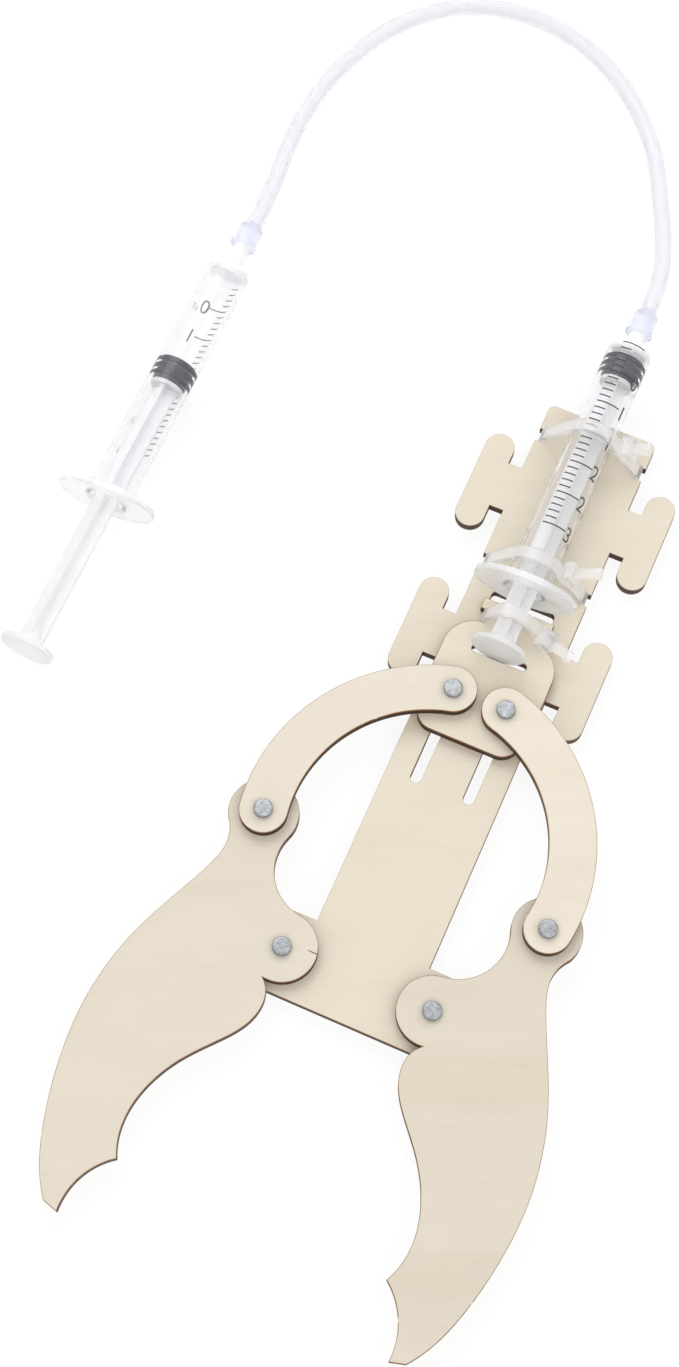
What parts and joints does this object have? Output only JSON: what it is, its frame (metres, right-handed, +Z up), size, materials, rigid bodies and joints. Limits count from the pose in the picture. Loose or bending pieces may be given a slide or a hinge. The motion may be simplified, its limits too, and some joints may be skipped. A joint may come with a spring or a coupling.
{
  "type": "hydraulic claw arm kit",
  "caption": "Laser-cut plywood gripper worked by syringe hydraulics: a tied-on syringe pushes a carriage and two bent links that close curved claws, driven through a tube by a hand syringe.",
  "frame": {"origin": "on the base plate's centreline at table level, beneath the strap of the rear tie, the narrow one at the syringe's flange end", "axes": "+X across the arm towards its right-hand side with the claws pointing away from the user, +Y along the base plate from the claws towards the syringe nozzle, +Z up from the table"},
  "size_m": [0.1638, 0.321, 0.0201],
  "materials": {
    "plywood": "bare basswood plywood with laser-darkened edges",
    "rivet_metal": "bright plated",
    "nylon": "translucent natural nylon",
    "barrel_plastic": "clear polypropylene",
    "plunger_plastic": "translucent white polypropylene",
    "piston_rubber": "smooth black rubber",
    "tube_plastic": "clear flexible vinyl"
  },
  "bodies": {
    "frame": {"base_plate": "plywood", "claw_pivot_rivets": "rivet_metal", "claw_pivot_washers": "rivet_metal", "front_tie": "nylon", "rear_tie": "nylon", "arm_barrel": "barrel_plastic", "arm_connector": "tube_plastic", "hand_barrel": "barrel_plastic", "hand_connector": "tube_plastic", "tube": "tube_plastic"},
    "carriage": {"slider_plate": "plywood", "slider_rivets": "rivet_metal", "slider_washers": "rivet_metal", "plunger_tie": "nylon", "arm_plunger": "plunger_plastic", "arm_piston": "piston_rubber"},
    "left_link": {"left_link": "plywood", "left_elbow_rivet": "rivet_metal"},
    "right_link": {"right_link": "plywood", "right_elbow_rivet": "rivet_metal"},
    "left_claw": {"left_claw": "plywood", "left_elbow_washer": "rivet_metal"},
    "right_claw": {"right_claw": "plywood", "right_elbow_washer": "rivet_metal"},
    "hand_plunger": {"hand_plunger": "plunger_plastic", "hand_piston": "piston_rubber"}
  },
  "joints": [
    {"name": "grip_slide", "type": "slide", "parent": "frame", "child": "carriage", "axis": [0, -1, 0], "range_m": [-0.0024, 0.0204]},
    {"name": "hand_push", "type": "slide", "parent": "frame", "child": "hand_plunger", "axis": [0.0175, 0.9998, 0], "range_m": [-0.0024, 0.0204]},
    {"name": "right_link_turn", "type": "hinge", "parent": "carriage", "child": "right_link", "pos_m": [0.00645, -0.0344, 0.0081], "axis": [0, 0, 1], "range_deg": [-2, 16.7]},
    {"name": "left_link_turn", "type": "hinge", "parent": "carriage", "child": "left_link", "pos_m": [-0.00645, -0.0344, 0.0081], "axis": [0, 0, 1], "range_deg": [-16.7, 2]},
    {"name": "right_claw_turn", "type": "hinge", "parent": "frame", "child": "right_claw", "pos_m": [0.0179, -0.1038, 0.0053], "axis": [0, 0, 1], "range_deg": [-29.5, 3.5]},
    {"name": "left_claw_turn", "type": "hinge", "parent": "frame", "child": "left_claw", "pos_m": [-0.0179, -0.1038, 0.0053], "axis": [0, 0, 1], "range_deg": [-3.5, 29.5]}
  ],
  "couplings": [
    {"joint": "hand_push", "follows": "grip_slide", "ratio": 1},
    {"joint": "right_link_turn", "follows": "grip_slide", "rad_per_m": 14.25},
    {"joint": "left_link_turn", "follows": "grip_slide", "rad_per_m": -14.25},
    {"joint": "right_claw_turn", "follows": "grip_slide", "rad_per_m": -25.181},
    {"joint": "left_claw_turn", "follows": "grip_slide", "rad_per_m": 25.181}
  ]
}
